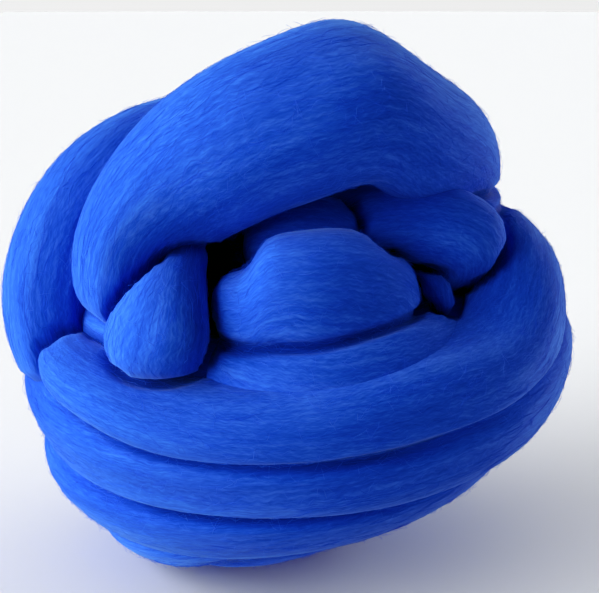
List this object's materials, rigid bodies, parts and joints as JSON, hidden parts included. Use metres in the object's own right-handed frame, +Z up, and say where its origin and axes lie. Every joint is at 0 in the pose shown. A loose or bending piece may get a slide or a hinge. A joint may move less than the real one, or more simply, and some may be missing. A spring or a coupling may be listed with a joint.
{
  "type": "wound ball of merino roving yarn",
  "caption": "Loose hand-wound ball of thick, soft, unspun blue wool roving, with crossing turns, a front hollow of folded loops and a small flat spot to rest on.",
  "frame": {"origin": "on the surface the ball rests on, under the middle of its outline", "axes": "+Z up, -Y towards the front with the hollow, +X to the right as seen from the front"},
  "size_m": [0.2156, 0.2014, 0.2106],
  "materials": {
    "roving": "matte combed wool"
  },
  "bodies": {
    "root": {"roving_ball": "roving"}
  },
  "joints": []
}
